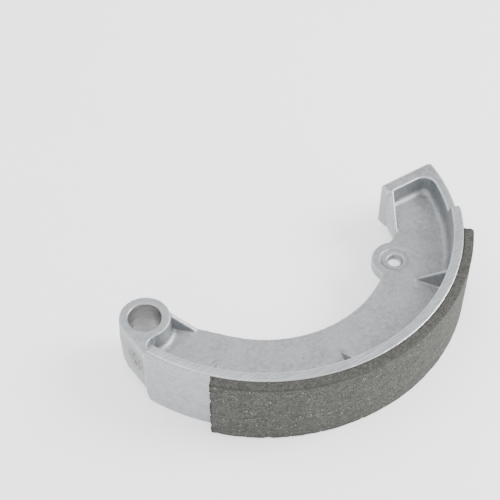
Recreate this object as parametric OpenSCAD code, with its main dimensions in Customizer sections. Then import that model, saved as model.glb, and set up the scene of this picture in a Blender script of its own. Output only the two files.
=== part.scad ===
// Drum brake shoe with a bonded lining, in millimetres.
// The origin is on the axis of the pivot bore, half way across the shoe.
// +Z runs along that axis, +X from the pivot towards the cam end, and the lining faces -Y.
// Outlines are drawn about the centre of the drum, with angles counted from +X.

/* [Rim] */
// Outer radius of the turned rim that carries the lining
rim_r = 76; // [75.6:0.1:77]
// Width of the rim and of the lining
rim_w = 30; // [27:0.5:34]
// Thickness of the rim at its milled edges
rim_t = 3.8; // [3.2:0.1:4.6]
// Angle at which the turned rim starts, at the pivot end
rim_start = 202.6; // [201:0.1:204]
// Angle at which the turned rim stops, at the cam end
rim_stop = 333.5; // [329:0.1:336]
// Fillet between the web and the walls above it
floor_fillet = 2.6; // [1.5:0.1:2.9]
// Draft of the cast walls, in degrees
wall_draft = 2; // [0.5:0.25:3]

/* [Web] */
// Thickness of the web
web_t = 4.4; // [4:0.2:6]
// Radius of the inner edge of the web
web_r = 48.3; // [47.6:0.1:49]
// Angle at which the straight edge from the pivot eye meets the round edge of the web
hub_angle = 222; // [218:0.5:226]

/* [Lining] */
// Thickness of the friction lining
lining_t = 3.6; // [2:0.1:5]
// Angle at which the lining starts, at the pivot end
lining_start = 223; // [216:0.2:232]
// Angle at which the lining stops, at the cam end
lining_stop = 323.5; // [316:0.1:327]
// Bevel along the edges of the friction face
lining_bevel = 0.3; // [0.1:0.05:0.6]
// Thickness of the adhesive under the lining
bond_t = 0.2; // [0.1:0.05:0.4]

/* [Pivot eye] */
// Distance of the pivot bore from the centre of the drum
pivot_r = 62.4; // [61:0.2:63]
// Angle of the pivot bore about the centre of the drum
pivot_angle = 193; // [192:0.25:194]
// Diameter of the pivot bore
bore_d = 12; // [10:0.25:13]
// Wall of the eye around the bore
eye_wall = 3.6; // [2.8:0.1:4]
// Bevel at each mouth of the bore
bore_bevel = 0.4; // [0.2:0.05:0.8]
// Step left by the two halves of the die at mid height of the eye
die_step = 0.15; // [0.05:0.05:0.3]
// Radius of the pocket's round end beside the eye
neck_corner_r = 3.5; // [3.2:0.1:3.8]

/* [End blocks] */
// Width of the pivot eye and its neck
eye_w = 21; // [18:0.5:24]
// Width of the cam block
cam_w = 20; // [17:0.5:23]
// Outer radius of the neck, as cast
neck_r = 75.2; // [74.4:0.1:75.5]
// Outer radius of the cam block, as cast
cam_r = 75.7; // [75:0.1:75.9]
// Lean of the steps between the rim and the end blocks, in degrees
step_lean = 16; // [5:1:30]
// Rounding of those steps, above and below
step_round = 0.9; // [0.4:0.1:1.2]

/* [Cam block] */
// Distance of the cam face below the centre of the drum
cam_drop = 6.6; // [4.6:0.1:8]
// Place of the hub end of the cam face
cam_hub_x = 50.8; // [50:0.1:52]
// Thickness of the wall behind the cam face
cam_wall = 4.8; // [3.6:0.1:5.5]
// Radius of the corner of the pocket behind the cam face
cam_corner_r = 4.8; // [3.6:0.1:6]
// Bevel at the outer end of the cam face
cam_outer_bevel = 1.4; // [0.6:0.1:2]
// Bevel along the other edges of the cam face
cam_bevel = 0.6; // [0.3:0.1:1.2]
// Lean of the hub edge from the cam block to the spring lug, in degrees
hub_lean = 25.3; // [23:0.5:27]

/* [Fins and ribs] */
// Thickness of the fins at their ridge
fin_t = 1.6; // [1:0.1:2.4]
// Lean of the sides of the fins, in degrees
fin_lean = 5; // [2:0.5:8]
// Length of the fin beside the pivot eye
pivot_fin_l = 11; // [8:0.5:13]
// Length of the fin beside the cam block
cam_fin_l = 14.4; // [11:0.2:16]
// Angle of the first rib on the upper face
upper_rib_start = 220.8; // [217:0.2:225]
// Angle of the first rib on the lower face
lower_rib_start = 235.4; // [231:0.2:240]
// Angle between one rib and the next
rib_pitch = 43.9; // [38:0.1:46]
// Ribs on each face
rib_count = 3; // [1:1:3]
// Reach of a rib from the inner wall of the rim towards the hub
rib_reach = 12; // [8:0.5:15]
// Height of a rib above the web, at the rim
rib_h = 9.5; // [6:0.5:11]
// Thickness of a rib at its ridge
rib_t = 1; // [0.8:0.1:2]
// Lean of the sides of a rib, in degrees
rib_lean = 5; // [2:0.5:8]

/* [Spring hole] */
// Diameter of the hole for the return spring
spring_d = 4.9; // [4:0.1:6]
// Distance of that hole from the centre of the drum
spring_r = 51.2; // [50.6:0.1:51.8]
// Angle of that hole about the centre of the drum
spring_angle = 316.2; // [315:0.1:317.2]
// Wall of the lug around that hole
lug_wall = 6.4; // [6:0.1:7.2]
// Rounding where the lug runs into the round edge of the web
lug_blend = 2.5; // [1.5:0.1:3]
// Rounding where the lug runs into the edge below the cam block
cam_blend = 4.5; // [2:0.1:5]
// Bevel at each mouth of the hole
spring_bevel = 0.9; // [0.3:0.1:1.1]
// Radius of the seat around the hole, for the hook of the spring
seat_r = 5.4; // [4.4:0.1:5.8]
// Depth of the seat at its hub side
seat_depth = 0.8; // [0.4:0.1:1]
// Slope of the floor of the seat, in degrees
seat_slope = 4; // [3:0.5:8]
// Flare of the sides of the seat, in degrees
seat_flare = 8; // [2:1:15]

/* [Hidden] */
$fn = 96;

// Overlap that joins one solid to the next
lap = 0.5;
// Reach of a cut beyond the surface that it opens
over = 1;
// Depth by which a line or a rounding runs into its neighbour instead of only touching it
tuck = 0.002;

edge_z = rim_w / 2;
eye_z = eye_w / 2;
cam_z = cam_w / 2;
web_z = web_t / 2;
eye_r = bore_d / 2 + eye_wall;
rim_in = rim_r - rim_t;
lug_r = spring_d / 2 + lug_wall;
lining_r = rim_r + bond_t;
drum_r = lining_r + lining_t;
// Radius that clears the whole shoe, for outlines that a circle trims
clear_r = 1.2 * drum_r;
// Inner radius of the band that the rim and the web share
root_r = rim_in - 2 * floor_fillet;
// Radius beyond the shoe of the planes at which its parts meet
far_r = 2 * clear_r;

// A point at a radius and an angle about the centre of the drum
function polar(r, a) = [r * cos(a), r * sin(a)];

// Angle of a point about the centre of the drum, from 0 to 360
function angle_of(p) = (atan2(p[1], p[0]) + 360) % 360;

// The point where two circles cross, on the left of the way from c1 to c2 (side 1) or the right (-1)
function meet(c1, r1, c2, r2, side) =
    let (d = norm(c2 - c1), u = (c2 - c1) / d)
    let (a = (r1 * r1 - r2 * r2 + d * d) / (2 * d), h = sqrt(r1 * r1 - a * a))
    c1 + a * u + side * h * [-u[1], u[0]];

// The point where a line from p touches a circle, on the left of the way from p to c
function touch(p, c, r) =
    let (d = norm(c - p), l = sqrt(d * d - r * r), u = (c - p) / d)
    p + (l / d) * (l * u + r * [-u[1], u[0]]);

// The point where a line from p along dir first crosses a circle
function cross_line(p, dir, c, r) =
    let (t = (c - p) * dir, off = norm(c - p - t * dir))
    p + (t - sqrt(r * r - off * off)) * dir;

pivot = polar(pivot_r, pivot_angle);

// Outer wall of the neck, from the rim to the eye
neck_out = polar(neck_r, rim_start);
eye_out = touch(neck_out, pivot, eye_r);
// Centre of the pocket's round end, which touches the eye and the inner wall of the rim
neck_c = meet([0, 0], rim_in - neck_corner_r, pivot, eye_r + neck_corner_r, 1);
neck_a = angle_of(neck_c);
// Straight hub edge of the neck, from the eye to the round edge of the web
hub_normal = polar(1, hub_angle);
hub_dir = [-hub_normal[1], hub_normal[0]];
hub_start = polar(web_r, hub_angle);
eye_in = cross_line(hub_start, -hub_dir, pivot, eye_r);

// Cam face, the corner of the pocket behind it and the hub edge below it
cam_y = -cam_drop;
cam_back_y = cam_y - cam_wall;
cam_outer_x = sqrt(cam_r * cam_r - cam_y * cam_y);
corner_y = cam_back_y - cam_corner_r;
corner_d = rim_in - cam_corner_r;
corner_c = [sqrt(corner_d * corner_d - corner_y * corner_y), corner_y];
corner_a = angle_of(corner_c);
cam_hub = [cam_hub_x, cam_back_y];
cam_dir = [-sin(hub_lean), -cos(hub_lean)];
cam_side = [-cam_dir[1], cam_dir[0]];

// Outlines that meet at the corner behind the cam face, about its centre
wall_end = polar(far_r, 90 - corner_a);
before_corner = [[-far_r, 0], [far_r, 0], [far_r, -far_r], [-far_r, -far_r]];
past_corner = [[0, 0], [far_r, 0], [far_r, far_r], wall_end];
behind_face = [[-corner_d, 0], [0, 0], wall_end, [-corner_d, far_r]];

// Lug of the spring hole, with the centres of the roundings on either side of it
spring_c = polar(spring_r, spring_angle);
web_blend_c = meet([0, 0], web_r - lug_blend, spring_c, lug_r + lug_blend, -1);
cam_blend_c = cross_line(cam_hub - cam_blend * cam_side, cam_dir, spring_c, lug_r + cam_blend);
lug_end = cam_blend_c + cam_blend * cam_side;

// What its children draw above the web, above it and again below it
module both_faces() {
    children();
    mirror([0, 0, 1]) children();
}

// Section of the pocket above the web, which reaches u = 0 beside the milled edge
module pocket_section(inward) {
    fillet_z = web_z + floor_fillet;
    fillet_u = -(edge_z - fillet_z) * tan(wall_draft) - floor_fillet / cos(wall_draft);
    polygon([
        [-inward, web_z],
        [fillet_u, web_z],
        [fillet_u, fillet_z] + (floor_fillet - tuck) * [cos(wall_draft), -sin(wall_draft)],
        [over * tan(wall_draft), edge_z + over],
        [-inward, edge_z + over]
    ]);
    translate([fillet_u, fillet_z]) circle(r = floor_fillet);
}

// The pocket above the web, from one angle to another along the rim
module pocket_arc(from, to) {
    rotate([0, 0, from]) rotate_extrude(angle = to - from) {
        translate([rim_in, 0]) pocket_section(rim_in - web_r + over);
    }
}

// Round end of the pocket about the Z axis, with a radius of reach, from one angle to another
module pocket_end(reach, from, to) {
    rotate([0, 0, from]) rotate_extrude(angle = to - from) intersection() {
        translate([reach, 0]) pocket_section(reach);
        square([reach + over, edge_z + 2 * over]);
    }
}

// Turns and moves its children from the corner behind the cam face to its place
module at_corner() {
    rotate([0, 0, corner_a]) translate([corner_d, 0, 0]) children();
}

// Outline of the web beside the eye
module neck_outline() {
    polygon([
        pivot,
        eye_in - 2 * over * hub_dir - tuck * hub_normal,
        hub_start + 2 * over * hub_dir - tuck * hub_normal,
        polar(rim_in, hub_angle + 3 * over),
        polar(rim_in, rim_start + over),
        polar(neck_r - lap, rim_start + over),
        neck_out,
        eye_out
    ]);
}

// Outline of the web between the spring hole and the cam block
module cam_outline() {
    intersection() {
        circle(r = cam_r);
        polygon([
            spring_c,
            lug_end,
            cam_hub,
            [cam_hub_x + cam_corner_r, cam_y - over],
            [clear_r, cam_y - over],
            polar(clear_r, corner_a),
            polar(clear_r, spring_angle - over)
        ]);
    }
}

// A concave rounding from the lug to an edge of the web, whose inner points lie inside both of them
module lug_corner(c, r, edge_in) {
    lug_a = angle_of(spring_c - c);
    turn = (angle_of(edge_in - c) - lug_a + 540) % 360 - 180;
    facets = 7;
    polygon(concat(
        [spring_c, spring_c + (lug_r - lap) * (c - spring_c) / norm(c - spring_c)],
        [for (i = [1 : facets - 1]) c + polar(r, lug_a + turn * i / facets)],
        [edge_in]
    ));
}

module lug_corners() {
    lug_corner(web_blend_c, lug_blend, polar(web_r + lap, angle_of(web_blend_c)));
    lug_corner(cam_blend_c, cam_blend, lug_end + lap * cam_side);
}

// Outline of the web along its round inner edge, out to the rim, from one angle to another
module arc_outline(from, to) {
    difference() {
        intersection() {
            circle(r = root_r + lap);
            polygon([[0, 0], polar(clear_r, from), polar(2 * clear_r, (from + to) / 2), polar(clear_r, to)]);
        }
        circle(r = web_r);
    }
}

// The solid rim, before the pockets are taken out of it
module rim(from, to) {
    rotate([0, 0, from]) rotate_extrude(angle = to - from) {
        translate([root_r, -edge_z]) square([rim_r - root_r, rim_w]);
    }
}

// The web from the eye to the spring hole
module arc_web() {
    linear_extrude(web_t, center = true) {
        arc_outline(hub_angle, spring_angle);
        neck_outline();
    }
}

// The web from the spring hole to the cam block, with the lug of the hole
module cam_web() {
    linear_extrude(web_t, center = true) {
        cam_outline();
        lug_corners();
    }
    translate(spring_c) cylinder(h = web_t, r = lug_r, center = true);
}

// The solid block between the eye and the rim
module neck_block() {
    past_c = neck_c + lap * (neck_c - pivot) / norm(neck_c - pivot);
    from = angle_of(eye_out - pivot);
    to = angle_of(neck_c - pivot);
    inside_eye = [for (i = [0 : 3]) pivot + polar(bore_d / 2 + eye_wall / 2, to + (from - to) * i / 3)];
    linear_extrude(eye_w - 2 * tuck, center = true) {
        polygon(concat([eye_out, neck_out, polar(neck_r - lap, rim_start + over), past_c], inside_eye));
    }
}

// The solid block behind the cam face, with the edges of the face bevelled
module cam_block() {
    face_z = cam_z - cam_bevel;
    intersection() {
        linear_extrude(cam_w, center = true) intersection() {
            circle(r = cam_r);
            polygon([
                [cam_hub_x, corner_y - over],
                [cam_hub_x, cam_y - cam_bevel],
                [cam_hub_x + cam_bevel, cam_y],
                [cam_outer_x - cam_outer_bevel, cam_y],
                [cam_outer_x + cam_outer_bevel, cam_y - 2 * cam_outer_bevel],
                [clear_r, cam_y - 2 * cam_outer_bevel],
                polar(clear_r, corner_a),
                polar(clear_r, rim_stop - over),
                polar(root_r - over, rim_stop - 2 * over),
                corner_c - [over, over]
            ]);
        }
        translate([cam_hub_x - over, 0, 0]) rotate([90, 0, 90]) linear_extrude(clear_r) {
            polygon([
                [cam_y, -face_z],
                [cam_y, face_z],
                [cam_y - cam_bevel, cam_z],
                [-clear_r, cam_z],
                [-clear_r, -cam_z],
                [cam_y - cam_bevel, -cam_z]
            ]);
        }
    }
}

// An outline drawn out to the full width of the shoe and more
module region(outline) {
    linear_extrude(2 * rim_w, center = true) polygon(outline);
}

// The casting from the eye to the corner behind the cam face
module rim_part() {
    difference() {
        intersection() {
            union() {
                arc_web();
                cam_web();
                rim(rim_start, rim_stop);
                neck_block();
                cam_block();
            }
            at_corner() region(before_corner);
        }
        both_faces() rotate([0, 0, neck_a]) {
            pocket_arc(0, corner_a + 6 * over - neck_a);
            translate([rim_in - neck_corner_r, 0]) pocket_end(neck_corner_r, -180, 0);
        }
    }
}

// The corner behind the cam face
module corner_part() {
    difference() {
        intersection() {
            cam_block();
            at_corner() region(past_corner);
        }
        both_faces() at_corner() pocket_end(cam_corner_r - tuck, 0, 360);
    }
}

// The wall behind the cam face, with the web below it
module wall_part() {
    length = corner_c[0] - cam_hub_x + over;
    difference() {
        intersection() {
            union() {
                cam_web();
                cam_block();
            }
            at_corner() region(behind_face);
        }
        both_faces() at_corner() rotate([0, 0, -corner_a]) translate([-length, 0, 0]) rotate([90, 0, 90]) {
            linear_extrude(length + 2 * over) translate([cam_corner_r - tuck, 0]) {
                pocket_section(3 * cam_corner_r);
            }
        }
    }
}

// What is cut from the rim above an end block of height end_z, seen along the radius, with the rim at s > 0
module step_section(end_z) {
    h = edge_z - end_z;
    foot_s = -step_round * (1 - sin(step_lean)) / cos(step_lean);
    head_s = (step_round + (h - step_round) * sin(step_lean)) / cos(step_lean);
    turn = (90 - step_lean) / 3;
    foot = [for (i = [0 : 3]) [foot_s, end_z + step_round] + polar(step_round, i * turn - 90)];
    head = [for (i = [0 : 3]) [head_s, edge_z - step_round] + polar(step_round, 180 - step_lean - i * turn)];
    past = head[3] + (head[3] - head[2]) / 4;
    back = -2 * rim_t;
    polygon(concat([[back, end_z]], foot, head, [past, [past[0], edge_z + over], [back, edge_z + over]]));
}

// One such cut, at an end of the turned rim, with the rim on the left (turn 1) or the right (turn -1)
module step_cut(a, turn, end_z) {
    rotate([0, 0, a]) scale([1, turn, 1]) translate([root_r - over, 0, 0]) rotate([90, 0, 90]) {
        linear_extrude(rim_r - root_r + 2 * over) step_section(end_z);
    }
}

// The eye, cast in two halves that meet in a small step, with a fillet at its foot
module eye() {
    slope = tan(wall_draft);
    cylinder(h = eye_z, r1 = eye_r + die_step, r2 = eye_r + die_step - eye_z * slope);
    mirror([0, 0, 1]) cylinder(h = eye_z, r1 = eye_r, r2 = eye_r - eye_z * slope);
}

// Section of the fillet around the foot of the eye
module foot_section() {
    fillet_z = web_z + floor_fillet;
    fillet_u = eye_r - fillet_z * tan(wall_draft) + floor_fillet / cos(wall_draft);
    wall_z = fillet_z - floor_fillet * sin(wall_draft);
    difference() {
        polygon([
            [eye_r - over, web_z - lap],
            [fillet_u, web_z - lap],
            [fillet_u, wall_z],
            [eye_r - over, wall_z]
        ]);
        translate([fillet_u - tuck, fillet_z - tuck]) circle(r = floor_fillet);
    }
}

module eye_foot() {
    intersection() {
        translate(pivot) rotate_extrude() foot_section();
        linear_extrude(eye_z) neck_outline();
    }
}

// The solid between sections that have as many points each, listed as [place along X, points in Y and Z]
module loft(sections) {
    n = len(sections[0][1]);
    last = len(sections) - 1;
    polyhedron(
        points = [for (s = sections) for (p = s[1]) [s[0], p[0], p[1]]],
        faces = concat(
            [[for (i = [0 : n - 1]) i]],
            [[for (i = [0 : n - 1]) last * n + n - 1 - i]],
            [for (k = [0 : last - 1]) for (i = [0 : n - 1])
                [k * n + (i + 1) % n, k * n + i, (k + 1) * n + i, (k + 1) * n + (i + 1) % n]]
        )
    );
}

// Section of a fin whose ridges lie at the height z on either face, with its crease on the hub edge
function fin_section(z) =
    let (slope = tan(fin_lean))
    let (face = z * slope - tuck, back = z * slope + fin_t)
    [[-tuck, 0], [face, -z], [back, -z], [back + z * slope, 0], [back, z], [face, z]];

// A fin on the left (turn 1) or right (turn -1) of a hub edge, from a block of height end_z down to the web
module fin(from, dir, length, turn, end_z) {
    block_end = fin_section(end_z);
    web_end = fin_section(web_z - lap / 10);
    sections = [[-over, block_end], [-over / 3, block_end], [length, web_end]];
    translate(from) rotate([turn > 0 ? 0 : 180, 0, atan2(dir[1], dir[0])]) loft(sections);
}

// Section of a rib whose ridge lies at the height z, down into the web
function rib_section(z) =
    let (foot_z = web_z - 2 * lap, foot = rib_t / 2 + (z - foot_z) * tan(rib_lean))
    [[-foot, foot_z], [foot, foot_z], [rib_t / 2, z], [-rib_t / 2, z]];

// A triangular rib between the web and the rim, whose ridge runs on into both of them
module rib(a) {
    fall = rib_h / rib_reach;
    tip = rim_in - rib_reach - lap / fall;
    rotate([0, 0, a]) loft([
        [tip, rib_section(web_z - lap)],
        [rim_in + lap, rib_section(web_z + rib_h + lap * fall)]
    ]);
}

module ribs() {
    for (i = [0 : rib_count - 1]) {
        rib(upper_rib_start + i * rib_pitch);
        mirror([0, 0, 1]) rib(lower_rib_start + i * rib_pitch);
    }
}

// The seat of the spring's hook, a flared notch whose floor runs out towards the rim
module spring_seat() {
    run = seat_depth / tan(seat_slope) - seat_r + lap;
    flare = run * tan(seat_flare);
    translate(spring_c) rotate([0, 0, spring_angle]) translate([-seat_r, 0, web_z - seat_depth]) {
        rotate([0, -seat_slope, 0]) linear_extrude(seat_depth + over) translate([seat_r, 0]) {
            circle(r = seat_r);
            polygon([[0, -seat_r], [run, -seat_r - flare], [run, seat_r + flare], [0, seat_r]]);
        }
    }
}

// The hole of the spring, with a bevel at each mouth, below the floor of the seat
module spring_hole() {
    mouth_z = web_z - seat_depth + seat_r * tan(seat_slope);
    translate([0, 0, -web_t]) cylinder(h = 2 * web_t, d = spring_d);
    both_faces() translate([0, 0, mouth_z - spring_bevel]) {
        cylinder(h = spring_bevel + over, r1 = spring_d / 2, r2 = spring_d / 2 + spring_bevel + over);
    }
}

module bore() {
    mouth_r = bore_d / 2 + bore_bevel + over;
    translate([0, 0, -eye_z - over]) cylinder(h = eye_w + 2 * over, d = bore_d);
    both_faces() translate([0, 0, eye_z - bore_bevel]) {
        cylinder(h = bore_bevel + over, r1 = bore_d / 2, r2 = mouth_r);
    }
}

module about_drum() {
    translate([-pivot[0], -pivot[1], 0]) children();
}

module shoe_casting() color([0.72, 0.74, 0.75]) about_drum() difference() {
    union() {
        union() {
            rim_part();
            corner_part();
            wall_part();
            fin(eye_in, hub_dir, pivot_fin_l, -1, eye_z - tuck);
            fin(cam_hub, cam_dir, cam_fin_l, 1, cam_z - tuck);
            ribs();
        }
        translate(pivot) eye();
        both_faces() eye_foot();
    }
    both_faces() step_cut(rim_start, 1, eye_z + tuck);
    both_faces() step_cut(rim_stop, -1, cam_z);
    both_faces() spring_seat();
    translate(pivot) bore();
    translate(spring_c) spring_hole();
}

module bond_layer() color([0.30, 0.24, 0.16]) about_drum() {
    rotate([0, 0, lining_start]) rotate_extrude(angle = lining_stop - lining_start) {
        translate([rim_r, -edge_z]) square([bond_t, rim_w]);
    }
}

module friction_lining() color([0.43, 0.43, 0.41]) about_drum() {
    bevel_r = drum_r - lining_bevel;
    bevel_z = edge_z - lining_bevel;
    rotate([0, 0, lining_start]) rotate_extrude(angle = lining_stop - lining_start) polygon([
        [lining_r, -edge_z],
        [bevel_r, -edge_z],
        [drum_r, -bevel_z],
        [drum_r, bevel_z],
        [bevel_r, edge_z],
        [lining_r, edge_z]
    ]);
}

shoe_casting();
bond_layer();
friction_lining();
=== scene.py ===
"""A cast aluminium brake shoe with its bonded lining, lying on a pale floor."""
import math

import bpy
import numpy as np
from mathutils import Matrix, Vector, noise


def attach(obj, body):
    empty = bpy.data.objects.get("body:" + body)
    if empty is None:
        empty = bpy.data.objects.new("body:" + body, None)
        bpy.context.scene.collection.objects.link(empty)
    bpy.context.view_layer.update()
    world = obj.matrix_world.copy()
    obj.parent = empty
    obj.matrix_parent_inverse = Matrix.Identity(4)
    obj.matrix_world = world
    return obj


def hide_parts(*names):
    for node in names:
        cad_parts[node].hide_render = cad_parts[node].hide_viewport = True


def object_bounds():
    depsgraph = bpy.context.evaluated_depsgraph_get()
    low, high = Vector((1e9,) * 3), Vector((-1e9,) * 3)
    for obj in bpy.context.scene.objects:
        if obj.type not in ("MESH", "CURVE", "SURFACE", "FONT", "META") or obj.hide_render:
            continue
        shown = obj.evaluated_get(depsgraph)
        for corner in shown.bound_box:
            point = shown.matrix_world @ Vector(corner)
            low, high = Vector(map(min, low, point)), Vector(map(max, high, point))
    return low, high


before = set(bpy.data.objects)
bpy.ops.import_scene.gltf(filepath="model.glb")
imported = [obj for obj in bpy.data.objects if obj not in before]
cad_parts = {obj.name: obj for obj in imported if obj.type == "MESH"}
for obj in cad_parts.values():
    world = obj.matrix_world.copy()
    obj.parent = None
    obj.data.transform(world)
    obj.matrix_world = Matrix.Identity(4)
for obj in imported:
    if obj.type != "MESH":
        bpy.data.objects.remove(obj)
cad_low, cad_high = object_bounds()

MM = 0.001
# The sizes that the CAD model was made to, in millimetres and degrees about the drum
PIVOT = (0.0, 0.0)
DRUM = np.array([60.801, 14.037])
RIM_R = 76.0
RIM_IN = 72.2
RIM_STOP = 333.5
EDGE_Z = 15.0
WEB_Z = 2.2
BORE_R = 6.0
EYE_R = 9.6
EYE_Z = 10.5
CAM_FACE_Y = 7.437
CAM_FACE_X = 100.0
SPRING = np.array([97.755, -21.401])
SEAT_R = 5.4
BOND_T = 0.2
LINING_T = 3.6
LINING_BEVEL = 0.3
LINING_START = 223.0
LINING_STOP = 323.5

# How the casting is remeshed, rounded and thinned out
VOXEL = 0.36
MOST_TRIANGLES = 190000
CAST_PASSES = 4
CAST_PULL = 0.62
CRISP_PULL = 0.25
STEP_BACK = 0.42
# Relief on the casting: the skin's waves, the ejector marks, and the chips and where they may be
SKIN = 0.030
EJECTOR_DEPTH = 0.16
CHIP_DEPTH = 0.6
CHIP_REACH = 2.6
BITE_REACH = 6
# Round ejector marks on the lower face: radius and angle about the drum, and radius of the mark
EJECTORS = [(61.6, 216, 4.6), (64.0, 262, 4.5), (65.0, 312, 4.0), (61.4, 338, 3.8)]
# Place of the upright crease between the neck and the rim, and of the stain on the neck
CREASE = (-8.63, -14.86)
STAIN = (-9.3, -9.0, 1.0)

# How light the aluminium is beside the white floor, and how strong and high the bumps are
TONE = 0.575
BUMP = 0.8
BUMP_HEIGHT = 0.12
# Name of the attribute that says how far a point stands out of its surroundings
STAND = "stand"

# The photograph's camera: place in millimetres, direction, roll in degrees and lens
CAMERA_PLACE = Vector((-122.538, -259.512, 379.45))
CAMERA_FORWARD = Vector((0.3538, 0.5470, -0.7587))
CAMERA_ROLL = 0.27
CAMERA_LENS = 92.534
CAMERA_SENSOR = 36
# Lights: name, place, size and power
LIGHTS = [
    ("key", (-0.15, 0.30, 0.85), 0.8, 4.0),
    ("left", (-0.55, -0.55, 0.45), 0.6, 1.1),
    ("right", (0.62, -0.30, 0.50), 0.5, 9.0),
]
LIT_POINT = (0.06, -0.02, 0.0)
SKY = 1.2
WHITE = (1, 1, 1, 1)
# The floor lies a little lower than the rim's edge, and glows like a light table
FLOOR_GAP = 0.02
FLOOR_HALF = 2.0
FLOOR_GLOW = 0.9


# Mesh helpers

def new_object(name, verts, faces):
    mesh = bpy.data.meshes.new(name)
    mesh.from_pydata([tuple(v) for v in verts], [], faces)
    mesh.update()
    obj = bpy.data.objects.new(name, mesh)
    bpy.context.scene.collection.objects.link(obj)
    return obj


def coords(mesh):
    co = np.zeros(len(mesh.vertices) * 3)
    mesh.vertices.foreach_get("co", co)
    return co.reshape(-1, 3)


def set_coords(mesh, co):
    mesh.vertices.foreach_set("co", co.ravel())
    mesh.update()


def edges_of(mesh):
    e = np.zeros(len(mesh.edges) * 2, int)
    mesh.edges.foreach_get("vertices", e)
    return e.reshape(-1, 2)


def normals_of(mesh):
    n = np.zeros(len(mesh.vertices) * 3)
    mesh.vertex_normals.foreach_get("vector", n)
    return n.reshape(-1, 3)


def neighbour_mean(co, e):
    """The mean of each point's neighbours, by the edges e."""
    n = len(co)
    count = np.bincount(e.ravel(), minlength=n).clip(1)
    out = np.zeros_like(co)
    for k in range(co.shape[1]):
        out[:, k] = np.bincount(e[:, 0], co[e[:, 1], k], n) + np.bincount(e[:, 1], co[e[:, 0], k], n)
    return out / count[:, None]


def applied(obj, name, kind, **settings):
    """Puts the result of one modifier into the object's mesh."""
    m = obj.modifiers.new(name, kind)
    for key, value in settings.items():
        setattr(m, key, value)
    dg = bpy.context.evaluated_depsgraph_get()
    made = bpy.data.meshes.new_from_object(obj.evaluated_get(dg))
    obj.modifiers.clear()
    obj.data = made


def wander(co, scale, seed):
    """Smooth noise between about -1 and 1 at each point, with points in millimetres."""
    shift = Vector((seed * 17.3, seed * 5.1, seed * 9.7))
    return np.array([noise.noise(Vector(p) * scale + shift) for p in co])


def step01(x, low, high):
    """0 below low, 1 above high, and smooth between them."""
    t = ((x - low) / (high - low)).clip(0, 1)
    return t * t * (3 - 2 * t)


def away(co, centre):
    """How far each point lies from an upright axis."""
    return np.hypot(co[:, 0] - centre[0], co[:, 1] - centre[1])


def triangles(mesh):
    mesh.calc_loop_triangles()
    return len(mesh.loop_triangles)


def smooth(mesh):
    mesh.polygons.foreach_set("use_smooth", [True] * len(mesh.polygons))
    mesh.update()


def write_stand(mesh):
    """Writes how far each point stands out of its surroundings, for worn edges with painted highlights and
    for painted shade in corners.
    """
    co = coords(mesh) / MM
    e = edges_of(mesh)
    stand = np.einsum("ij,ij->i", co - neighbour_mean(co, e), normals_of(mesh))[:, None] / 0.1
    for _ in range(2):
        stand = 0.5 * stand + 0.5 * neighbour_mean(stand, e)
    layer = mesh.attributes.new(STAND, "FLOAT", "POINT")
    layer.data.foreach_set("value", stand.ravel().clip(-1, 1))


# The casting

def round_off(mesh):
    """Rounds the edges of the remeshed casting, less where it is machined."""
    co = coords(mesh) / MM
    e = edges_of(mesh)
    high = np.abs(co[:, 2])
    crisp = (high > EDGE_Z - 0.5) | (away(co, PIVOT) < BORE_R + 0.7) | (away(co, DRUM) > RIM_R - 0.5)
    crisp |= (away(co, SPRING) < SEAT_R + 2.1) & (high < WEB_Z + 0.4)
    pull = np.where(crisp, CRISP_PULL, CAST_PULL)[:, None]
    for _ in range(CAST_PASSES):
        co += pull * (neighbour_mean(co, e) - co)
        # A step back outwards keeps the walls from shrinking
        co -= STEP_BACK * pull * (neighbour_mean(co, e) - co)
    set_coords(mesh, co * MM)


def press_ejector_marks(co, normals):
    """The round marks that the die's ejector pins left on the lower face of the web."""
    low_web = (np.abs(co[:, 2] + WEB_Z) < 0.3) & (normals[:, 2] < -0.8)
    for r, angle, size in EJECTORS:
        a = math.radians(angle)
        d = away(co, DRUM + r * np.array([math.cos(a), math.sin(a)]))
        co[:, 2] += np.where(low_web, EJECTOR_DEPTH * (1 - step01(d, size - 0.3, size + 0.3)), 0)


def tear_chips(co):
    """The cutter tore small chips out of the rim where it left the step."""
    drum_r = away(co, DRUM)
    angle = np.degrees(np.arctan2(co[:, 1] - DRUM[1], co[:, 0] - DRUM[0])) % 360
    off = np.abs(angle - RIM_STOP)
    lip = (co[:, 2] > EDGE_Z - 3.5) & (drum_r > RIM_IN - 0.7) & (off < CHIP_REACH)
    torn = step01(wander(co, 1.5, 14), 0.05, 0.5) * step01(-off, -CHIP_REACH, -0.8)
    co[:, 2] -= np.where(lip, CHIP_DEPTH * torn, 0)
    start = RIM_STOP - BITE_REACH
    arris = (co[:, 2] > EDGE_Z - 2.5) & (drum_r > RIM_R - 1.4) & (angle > start)
    bite = CHIP_DEPTH * step01(wander(co, 1.2, 16), -0.2, 0.3) * step01(angle, start, RIM_STOP - 1)
    co[:, :2] -= np.where(arris, bite, 0)[:, None] * (co[:, :2] - DRUM) / drum_r[:, None]


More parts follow.
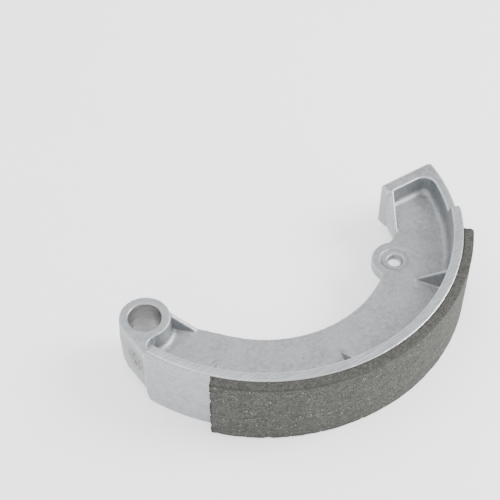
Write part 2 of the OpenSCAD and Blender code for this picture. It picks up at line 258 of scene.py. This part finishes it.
def make_casting():
    """The casting with rounded as-cast edges, a slightly uneven skin and crisp machined places."""
    obj = bpy.data.objects.new("shoe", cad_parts["shoe_casting"].data.copy())
    bpy.context.scene.collection.objects.link(obj)
    applied(obj, "remesh", "REMESH", mode="VOXEL", voxel_size=VOXEL * MM)
    round_off(obj.data)
    applied(obj, "thin", "DECIMATE", ratio=min(1.0, MOST_TRIANGLES / triangles(obj.data)))
    co = coords(obj.data) / MM
    normals = normals_of(obj.data)
    press_ejector_marks(co, normals)
    flat = (np.abs(co[:, 2]) > EDGE_Z - 0.35) | (away(co, PIVOT) < BORE_R + 0.3)
    skin = SKIN * (wander(co, 0.55, 1) + 0.6 * wander(co, 1.4, 2))
    co += np.where(flat, 0, skin)[:, None] * normals
    tear_chips(co)
    low, high = np.array(cad_low) / MM, np.array(cad_high) / MM
    set_coords(obj.data, co.clip(low, high) * MM)
    write_stand(obj.data)
    smooth(obj.data)
    return obj


# The lining and its film of adhesive

def ring_solid(name, grid):
    """A closed solid through grid[k, i, j]: step k along the arc, row i across, column j through."""
    steps, rows, columns = grid.shape[:3]
    # Once around a section: out along one side, and back along the other
    rim = [(i, 0) for i in range(rows)] + [(rows - 1, j) for j in range(1, columns)]
    rim += [(i, columns - 1) for i in range(rows - 2, -1, -1)]
    rim += [(0, j) for j in range(columns - 2, 0, -1)]
    inside = [(i, j) for i in range(1, rows - 1) for j in range(1, columns - 1)]
    cells = [(k, i, j) for k in range(steps) for i, j in rim]
    cells += [(k, i, j) for k in (0, steps - 1) for i, j in inside]
    index = {cell: n for n, cell in enumerate(cells)}
    faces = []
    for k in range(steps - 1):
        for a, b in zip(rim, rim[1:] + rim[:1]):
            faces.append([index[(k, *a)], index[(k, *b)], index[(k + 1, *b)], index[(k + 1, *a)]])
    for k, turn in ((0, 1), (steps - 1, -1)):
        for i in range(rows - 1):
            for j in range(columns - 1):
                quad = [index[k, i, j], index[k, i, j + 1], index[k, i + 1, j + 1], index[k, i + 1, j]]
                faces.append(quad[::turn])
    return new_object(name, [grid[cell] for cell in cells], faces)


def swept(name, steps, rows, columns, place):
    """A ring_solid along the lining. place(angle, across, through) gives radius, angle and z."""
    k, i, j = np.meshgrid(np.linspace(LINING_START, LINING_STOP, steps), rows, columns, indexing="ij")
    r, a, z = place(k, i, j)
    a = np.radians(a)
    obj = ring_solid(name, np.stack([DRUM[0] + r * np.cos(a), DRUM[1] + r * np.sin(a), z], -1) * MM)
    smooth(obj.data)
    return obj


def field(k, i, j, scale, seed):
    """Smooth noise on a sweep's grid, along the arc, across and through."""
    p = np.stack([np.radians(k.ravel()) * RIM_R, i.ravel() * 2 * EDGE_Z, j.ravel() * LINING_T], -1)
    return wander(p, scale, seed).reshape(k.shape)


def nearer_end(angle):
    """Degrees to the nearer end of the lining, and the sign of a turn inwards from there."""
    from_start, from_stop = angle - LINING_START, LINING_STOP - angle
    return np.minimum(from_start, from_stop), np.where(from_start < from_stop, 1, -1)


def make_lining():
    """The moulded lining: rough, with worn arrises and broken ends."""
    across = np.concatenate([[0, 0.006, 0.014], np.linspace(0.03, 0.97, 44), [0.986, 0.994, 1]])
    through = np.array([0, 0.15, 0.35, 0.6, 0.8, 0.92, 1])

    def place(k, i, j):
        side = np.minimum(i, 1 - i) * 2 * EDGE_Z
        end, inwards = nearer_end(k)
        # A bevel along both sides of the outer face, which chips here and there
        chip = step01(field(k, i, j, 0.5, 3), 0.28, 0.6)
        bevel = LINING_BEVEL * (0.8 + 0.5 * field(k, i, j, 0.35, 4)) + 0.35 * chip
        drop = (bevel - side).clip(0, None) * step01(j, 0.5, 1.0)
        rough = 0.03 * (1 + field(k, i, j, 1.1, 5)) + 0.025 * (1 + field(k, i, j, 2.3, 6))
        r = RIM_R + BOND_T + j * (LINING_T - drop) - rough * step01(j, 0.7, 1.0)
        z = (i * 2 - 1) * EDGE_Z * (1 - 0.0012 * (1 + field(k, i, j, 0.9, 7)) * (side < 0.01))
        # The ends are broken, not cut, and lose a little more at their corners
        ragged = 0.34 + 0.95 * field(k, i, j, 0.8, 8) + 0.65 * field(k, i, j, 1.6, 9)
        ragged += 0.30 * step01(field(k, i, j, 0.8, 10), 0.15, 0.5) * j
        inset = ragged.clip(0, None) * step01(1.2 - end, 0.0, 1.2)
        return r, k + inwards * np.degrees(inset / RIM_R), z

    return swept("lining", 300, across, through, place)


def make_bond():
    """The film of adhesive, drawn back between the parts and squeezed out at the ends of the lining."""
    film_gap = 0.004

    def place(k, i, j):
        back = 0.05 + 0.05 * (1 + field(k, i, j, 0.7, 11))
        end, inwards = nearer_end(k)
        out = 0.28 + 0.3 * field(k, i, j, 0.35, 12) + 0.14 * field(k, i, j, 1.3, 13)
        angle = k - inwards * np.degrees(out.clip(0, None) / RIM_R) * (end < 0.01)
        return RIM_R + film_gap + j * (BOND_T - 2 * film_gap), angle, (i * 2 - 1) * (EDGE_Z - back)

    return swept("bond", 160, np.linspace(0, 1, 15), np.array([0, 0.5, 1]), place)


# Materials

class Tree:
    """A short way to write a material's nodes. The lengths that its nodes give are in metres."""

    def __init__(self, name):
        self.material = bpy.data.materials.new(name)
        self.material.use_nodes = True
        self.nodes = self.material.node_tree.nodes
        self.links = self.material.node_tree.links
        self.bsdf = self.nodes["Principled BSDF"]
        self.place = self.add("ShaderNodeTexCoord").outputs["Object"]

    def put(self, socket, value):
        if isinstance(value, bpy.types.NodeSocket):
            self.links.new(value, socket)
        else:
            socket.default_value = value

    def add(self, kind, inputs=None, **props):
        node = self.nodes.new(kind)
        for key, value in props.items():
            setattr(node, key, value)
        for key, value in (inputs or {}).items():
            self.put(node.inputs[key], value)
        return node

    def math(self, op, a, b=0.0, clamp=False):
        return self.add("ShaderNodeMath", {0: a, 1: b}, operation=op, use_clamp=clamp).outputs[0]

    def plus(self, a, b):
        return self.math("ADD", a, b)

    def times(self, a, b):
        return self.math("MULTIPLY", a, b)

    def ramp(self, value, low, high, to_low=0.0, to_high=1.0):
        """A smooth step from to_low below low to to_high above high."""
        return self.add("ShaderNodeMapRange", {0: value, 1: low, 2: high, 3: to_low, 4: to_high},
                        clamp=True, interpolation_type="SMOOTHSTEP").outputs[0]

    def ramp_mm(self, length, low, high, to_low=0.0, to_high=1.0):
        """The same for a length, with low and high in millimetres."""
        return self.ramp(length, low * MM, high * MM, to_low, to_high)

    def mix(self, factor, a, b):
        n = self.add("ShaderNodeMix", data_type="RGBA", blend_type="MIX")
        self.put(n.inputs[0], factor)
        self.put(n.inputs[6], a)
        self.put(n.inputs[7], b)
        return n.outputs[2]

    def noise(self, scale, detail=2.0, vector=None, rough=0.5, distort=0.0):
        inputs = {"Vector": vector or self.place, "Scale": scale, "Detail": detail,
                  "Roughness": rough, "Distortion": distort}
        return self.add("ShaderNodeTexNoise", inputs).outputs["Fac"]

    def spots(self, scale, vector=None):
        """Distance to the nearest of many scattered points."""
        inputs = {"Vector": vector or self.place, "Scale": scale}
        return self.add("ShaderNodeTexVoronoi", inputs, feature="F1").outputs["Distance"]

    def vector(self, x, y, z=0.0):
        return self.add("ShaderNodeCombineXYZ", {0: x, 1: y, 2: z}).outputs[0]

    def scaled(self, x, y, z, turn=0.0, vector=None):
        inputs = {"Vector": vector or self.place, "Scale": (x, y, z), "Rotation": (0, 0, turn)}
        return self.add("ShaderNodeMapping", inputs).outputs[0]

    def axes(self):
        n = self.add("ShaderNodeSeparateXYZ", {0: self.place})
        return n.outputs[0], n.outputs[1], n.outputs[2]

    def from_centre(self, x, y, centre):
        return self.math("SUBTRACT", x, centre[0] * MM), self.math("SUBTRACT", y, centre[1] * MM)

    def radius(self, x, y, centre):
        dx, dy = self.from_centre(x, y, centre)
        return self.math("SQRT", self.plus(self.times(dx, dx), self.times(dy, dy)))

    def distance(self, point):
        """Distance from a point that is given in millimetres."""
        inputs = {0: self.place, 1: tuple(v * MM for v in point)}
        return self.add("ShaderNodeVectorMath", inputs, operation="DISTANCE").outputs["Value"]

    def arc(self, x, y):
        """Length along the rim."""
        dx, dy = self.from_centre(x, y, DRUM)
        return self.times(self.math("ARCTAN2", dy, dx), RIM_R * MM)

    def finish(self, colour, rough, height=None, strength=0.0, distance=0.0):
        self.put(self.bsdf.inputs["Base Color"], colour)
        self.put(self.bsdf.inputs["Roughness"], rough)
        if height is not None:
            inputs = {"Height": height, "Strength": strength, "Distance": distance * MM}
            bump = self.add("ShaderNodeBump", inputs)
            self.links.new(bump.outputs[0], self.bsdf.inputs["Normal"])
        return self.material


def grey(v, warm=0.0):
    return (v * (1 + warm), v, v * (1 - warm), 1.0)


def metal(v):
    return grey(v * TONE, -0.055)


def aluminium():
    """As-cast aluminium with milled rim edges, a bored eye, a milled cam face, stains and pits."""
    t = Tree("cast_aluminium")
    x, y, z = t.axes()
    high = t.math("ABSOLUTE", z)
    eye_r = t.radius(x, y, PIVOT)
    eye_angle = t.math("ARCTAN2", y, x)
    drum_r = t.radius(x, y, DRUM)
    arc = t.arc(x, y)
    stand = t.add("ShaderNodeAttribute", attribute_name=STAND).outputs["Fac"]

    # The skin of the casting: fine grain, cloudy patches and small dark pits
    grain = t.noise(1900, 4, rough=0.75)
    cloud = t.noise(95, 4, rough=0.6)
    fine_cloud = t.noise(520, 4, rough=0.7)
    colour = t.mix(t.ramp(cloud, 0.36, 0.64), metal(0.55), metal(0.71))
    colour = t.mix(t.ramp(fine_cloud, 0.38, 0.64, 0, 0.7), colour, metal(0.88))
    colour = t.mix(t.ramp(grain, 0.36, 0.68, 0, 0.55), colour, metal(0.36))
    pits = t.times(t.ramp(t.spots(330), 0.06, 0.12, 1, 0), t.ramp(t.noise(60, 1), 0.5, 0.62))
    colour = t.mix(t.times(pits, 0.7), colour, metal(0.10))
    # Painted shade darkens the corners, and edges are rubbed bright with a painted highlight
    colour = t.mix(t.ramp(stand, -0.36, -0.03, 0.62, 0), colour, metal(0.26))
    worn_edge_highlight = t.times(t.ramp(stand, 0.05, 0.26), t.ramp(t.noise(300, 2), 0.3, 0.6, 0.45, 0.9))
    colour = t.mix(worn_edge_highlight, colour, metal(0.96))
    # A painted line of shade lies around the foot of the spring's seat
    seat_r = t.radius(x, y, SPRING)
    ring_start = t.ramp_mm(seat_r, SEAT_R - 0.8, SEAT_R - 0.3)
    ring_stop = t.ramp_mm(seat_r, SEAT_R - 0.1, SEAT_R + 0.2, 1, 0)
    above = t.ramp_mm(z, 0.9, 1.2, 0, 0.42)
    colour = t.mix(t.times(t.times(ring_start, ring_stop), above), colour, metal(0.20))
    # A painted highlight lies along the crease where the neck leaves the turned rim
    colour = t.mix(t.ramp_mm(t.radius(x, y, CREASE), 0.5, 1.1, 1, 0), colour, metal(1.5))
    # Low down between the walls the skin gets warm painted shade
    colour = t.mix(t.ramp_mm(high, WEB_Z + 0.2, EDGE_Z - 1.5, 0.24, 0), colour, grey(0.46 * TONE, 0.04))

    # A brown stain and a few scrapes on the neck's outer wall
    stain_r = t.distance(STAIN)
    stain = t.times(t.ramp_mm(stain_r, 2, 7.5, 1, 0), t.ramp(t.noise(800, 5, rough=0.75), 0.44, 0.53))
    colour = t.mix(t.times(stain, 0.85), colour, (0.075, 0.058, 0.040, 1))
    long_marks = t.noise(900, 2, t.scaled(0.12, 1, 0.5, 0.7))
    scrapes = t.times(t.ramp_mm(stain_r, 4, 12, 1, 0), t.ramp(long_marks, 0.62, 0.68, 0, 0.6))
    colour = t.mix(scrapes, colour, metal(1.0))

    # Milled rim edges with slanting tool marks
    at_edge = t.ramp_mm(high, EDGE_Z - 0.28, EDGE_Z - 0.12)
    rim = t.times(at_edge, t.ramp_mm(drum_r, RIM_IN - 1.7, RIM_IN - 0.7))
    marks = t.noise(2600, 2, t.scaled(0.05, 1, 1, 0.55))
    cross = t.noise(2200, 2, t.scaled(0.05, 1, 1, -0.75))
    milled = t.mix(t.ramp(t.plus(marks, t.times(cross, 0.6)), 0.62, 0.98), metal(0.62), metal(0.94))
    colour = t.mix(rim, colour, milled)
    # Painted highlights along both arrises of the milled edge
    outer = t.ramp_mm(drum_r, RIM_R - 0.38, RIM_R - 0.15)
    inner = t.ramp_mm(drum_r, RIM_IN + 0.25, RIM_IN + 0.42, 1, 0)
    colour = t.mix(t.times(rim, t.times(t.math("MAXIMUM", outer, inner), 0.6)), colour, metal(1.35))
    # The turned outside of the rim, beyond the ends of the lining, has cloudy oxide over its tool marks
    turned = t.ramp_mm(drum_r, RIM_R - 0.25, RIM_R - 0.10)
    rings = t.noise(1.0, 1, t.vector(t.times(z, 5200), t.times(arc, 30)))
    oxide = t.mix(t.ramp(fine_cloud, 0.34, 0.68), metal(0.54), metal(0.74))
    colour = t.mix(turned, colour, t.mix(t.ramp(rings, 0.3, 0.7, 0, 0.30), oxide, metal(0.50)))
    # The bore, with scratches around it
    bore = t.ramp_mm(eye_r, BORE_R + 0.25, BORE_R + 0.45, 1, 0)
    scratch = t.noise(1.0, 3, t.vector(t.times(z, 4200), t.times(eye_angle, 0.8)))
    colour = t.mix(bore, colour, t.mix(t.ramp(scratch, 0.35, 0.72), grey(0.26, 0.01), grey(0.52, 0.01)))
    # The faced ends of the eye and the milled cam face
    eye_top = t.ramp_mm(high, EYE_Z - 0.20, EYE_Z - 0.08)
    faced = t.times(eye_top, t.ramp_mm(eye_r, EYE_R - 0.2, EYE_R + 0.1, 1, 0))
    swirl = t.noise(1.0, 2, t.vector(t.times(eye_r, 2400), eye_angle))
    colour = t.mix(t.times(faced, 0.3), colour, t.mix(t.ramp(swirl, 0.35, 0.65), metal(0.50), metal(0.72)))
    beyond = t.ramp_mm(x, CAM_FACE_X, CAM_FACE_X + 1)
    cam = t.times(t.ramp_mm(y, CAM_FACE_Y - 0.237, CAM_FACE_Y - 0.087), beyond)
    strokes = t.noise(1700, 2, t.scaled(1, 0.1, 0.06))
    colour = t.mix(cam, colour, t.mix(t.ramp(strokes, 0.35, 0.65), metal(0.55), metal(0.80)))

    machined = t.math("MAXIMUM", t.math("MAXIMUM", rim, turned), t.math("MAXIMUM", bore, cam), clamp=True)
    rough = t.plus(t.ramp(machined, 0, 1, 0.47, 0.34), t.ramp(fine_cloud, 0.3, 0.7, -0.05, 0.06))
    cast_height = t.plus(t.times(grain, 0.55), t.times(fine_cloud, 1.2))
    cast_height = t.math("SUBTRACT", cast_height, t.times(pits, 1.5))
    tool_height = t.times(t.plus(marks, t.plus(rings, scratch)), 0.35)
    t.put(t.bsdf.inputs["Metallic"], 0.80)
    return t.finish(colour, rough, t.mix(machined, cast_height, tool_height), BUMP, BUMP_HEIGHT)


def lining_compound():
    """Moulded friction compound: grey-olive binder with short fibres, specks and scoring."""
    t = Tree("friction_compound")
    x, y, z = t.axes()
    high = t.math("ABSOLUTE", z)
    arc = t.arc(x, y)
    flat = t.vector(arc, z, t.radius(x, y, DRUM))
    coarse = t.noise(260, 4, flat, rough=0.7)
    fine = t.noise(1800, 3, flat, rough=0.7)
    colour = t.mix(t.ramp(coarse, 0.3, 0.7), (0.028, 0.029, 0.025, 1), (0.058, 0.058, 0.052, 1))
    colour = t.mix(t.ramp(fine, 0.35, 0.72, 0, 0.75), colour, (0.105, 0.105, 0.095, 1))
    pepper = t.noise(2000, 2, flat, rough=0.8)
    colour = t.mix(t.ramp(pepper, 0.30, 0.47, 0.85, 0), colour, (0.016, 0.016, 0.014, 1))
    colour = t.mix(t.ramp(pepper, 0.54, 0.70, 0, 0.85), colour, (0.17, 0.17, 0.155, 1))
    # Fibres lie mostly along the arc
    fibre = t.noise(1500, 3, t.scaled(0.16, 1.0, 1.0, 0.12, flat), rough=0.6, distort=0.6)
    cross = t.noise(1300, 3, t.scaled(1.0, 0.22, 1.0, -0.35, flat), rough=0.6, distort=0.6)
    colour = t.mix(t.ramp(fibre, 0.60, 0.72, 0, 0.5), colour, (0.19, 0.19, 0.175, 1))
    colour = t.mix(t.ramp(cross, 0.61, 0.72, 0, 0.5), colour, (0.022, 0.022, 0.019, 1))
    # Specks of chalk, brass and soot
    chalk_patches = t.ramp(t.noise(700, 1, flat), 0.59, 0.64)
    chalk = t.times(t.ramp(t.spots(1150, flat), 0.16, 0.26, 1, 0), chalk_patches)
    colour = t.mix(t.times(chalk, 0.75), colour, (0.50, 0.49, 0.44, 1))
    brass_patches = t.ramp(t.noise(310, 1, flat), 0.60, 0.65)
    brass = t.times(t.ramp(t.spots(700, flat), 0.08, 0.15, 1, 0), brass_patches)
    colour = t.mix(t.times(brass, 0.8), colour, (0.42, 0.31, 0.13, 1))
    soot = t.ramp(t.spots(560, flat), 0.07, 0.16, 0.85, 0)
    colour = t.mix(soot, colour, (0.025, 0.025, 0.022, 1))
    # Light scoring along the arc, a smoother darker band by each edge, and the rubbed sides
    score = t.noise(1.0, 3, t.vector(t.times(z, 1500), t.times(arc, 45)))
    colour = t.mix(t.ramp(score, 0.58, 0.70, 0, 0.20), colour, (0.15, 0.15, 0.138, 1))
    band = t.ramp_mm(high, EDGE_Z - 1.15, EDGE_Z - 0.70, 0, 0.55)
    colour = t.mix(band, colour, (0.034, 0.033, 0.030, 1))
    worn = t.ramp(t.noise(1100, 4, flat, rough=0.7), 0.34, 0.68)
    worn = t.mix(worn, (0.034, 0.034, 0.031, 1), (0.074, 0.074, 0.068, 1))
    worn = t.mix(t.ramp(t.noise(2300, 3, flat), 0.5, 0.7, 0, 0.6), worn, (0.13, 0.13, 0.12, 1))
    side = t.ramp_mm(high, EDGE_Z - 0.20, EDGE_Z - 0.08)
    colour = t.mix(t.times(side, 0.85), colour, worn)
    # The broken ends are darker, with loose crumbs
    middle = math.radians((LINING_START + LINING_STOP) / 2 - 360) * RIM_R * MM
    half = math.radians((LINING_STOP - LINING_START) / 2) * RIM_R * MM
    end = t.math("SUBTRACT", half, t.math("ABSOLUTE", t.math("SUBTRACT", arc, middle)))
    crumbs = t.ramp(t.noise(900, 3, flat), 0.35, 0.55, 0.35, 0.9)
    colour = t.mix(t.times(t.ramp_mm(end, 0.3, 1.3, 1, 0), crumbs), colour, (0.030, 0.029, 0.025, 1))
    height = t.plus(t.times(fine, 0.9), t.plus(t.times(fibre, 0.8), t.times(score, 0.9)))
    height = t.math("SUBTRACT", height, soot)
    t.put(t.bsdf.inputs["Specular IOR Level"], 0.3)
    return t.finish(colour, t.ramp(fine, 0.2, 0.8, 0.80, 0.96), height, BUMP, BUMP_HEIGHT)


def adhesive():
    """Baked adhesive, dark brown and a little glossy."""
    t = Tree("baked_adhesive")
    cloud = t.noise(900, 3)
    colour = t.mix(t.ramp(cloud, 0.3, 0.7), (0.030, 0.021, 0.014, 1), (0.095, 0.066, 0.038, 1))
    return t.finish(colour, t.ramp(cloud, 0.3, 0.7, 0.35, 0.6), t.noise(2400, 2), 0.4, 0.05)


def floor_paper():
    """White paper, lit from below."""
    t = Tree("floor_paper")
    t.put(t.bsdf.inputs["Specular IOR Level"], 0.1)
    t.put(t.bsdf.inputs["Emission Color"], WHITE)
    t.put(t.bsdf.inputs["Emission Strength"], FLOOR_GLOW)
    return t.finish(t.mix(t.ramp(t.noise(14, 2), 0.3, 0.7), grey(0.90), grey(0.915)), 0.9)


def paint(obj, material):
    obj.data.materials.clear()
    obj.data.materials.append(material)
    obj.data.polygons.foreach_set("material_index", [0] * len(obj.data.polygons))


# The studio

def make_camera():
    """The photograph's camera, found from the sizes of the shoe."""
    forward = CAMERA_FORWARD.normalized()
    right = forward.cross(Vector((0, 0, 1))).normalized()
    up = right.cross(forward)
    roll = math.radians(CAMERA_ROLL)
    across = math.cos(roll) * right + math.sin(roll) * up
    upright = -math.sin(roll) * right + math.cos(roll) * up
    data = bpy.data.cameras.new("camera")
    data.sensor_width = CAMERA_SENSOR
    data.lens = CAMERA_LENS
    data.clip_start = 0.01
    data.clip_end = 20
    cam = bpy.data.objects.new("camera", data)
    pose = Matrix((across, upright, -forward)).transposed().to_4x4()
    pose.translation = CAMERA_PLACE * MM
    cam.matrix_world = pose
    bpy.context.scene.collection.objects.link(cam)
    bpy.context.scene.camera = cam


def make_light(name, place, size, power):
    """A round light that faces the middle of the shoe."""
    data = bpy.data.lights.new(name, "AREA")
    data.shape = "DISK"
    data.size = size
    data.energy = power
    obj = bpy.data.objects.new(name, data)
    obj.location = place
    obj.rotation_mode = "QUATERNION"
    obj.rotation_quaternion = (Vector(LIT_POINT) - Vector(place)).to_track_quat("-Z", "Y")
    bpy.context.scene.collection.objects.link(obj)


def make_surroundings():
    half, z = FLOOR_HALF, -(EDGE_Z + FLOOR_GAP) * MM
    corners = [(-half, -half, z), (half, -half, z), (half, half, z), (-half, half, z)]
    floor = new_object("floor", corners, [(0, 1, 2, 3)])
    paint(floor, floor_paper())
    world = bpy.data.worlds.new("studio")
    world.use_nodes = True
    background = world.node_tree.nodes["Background"]
    background.inputs["Color"].default_value = WHITE
    background.inputs["Strength"].default_value = SKY
    bpy.context.scene.world = world
    for light in LIGHTS:
        make_light(*light)


shoe = make_casting()
paint(shoe, aluminium())
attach(shoe, "root")
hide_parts("shoe_casting")

lining = make_lining()
paint(lining, lining_compound())
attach(lining, "root")
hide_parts("friction_lining")

bond = make_bond()
paint(bond, adhesive())
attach(bond, "root")
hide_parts("bond_layer")

make_surroundings()
make_camera()
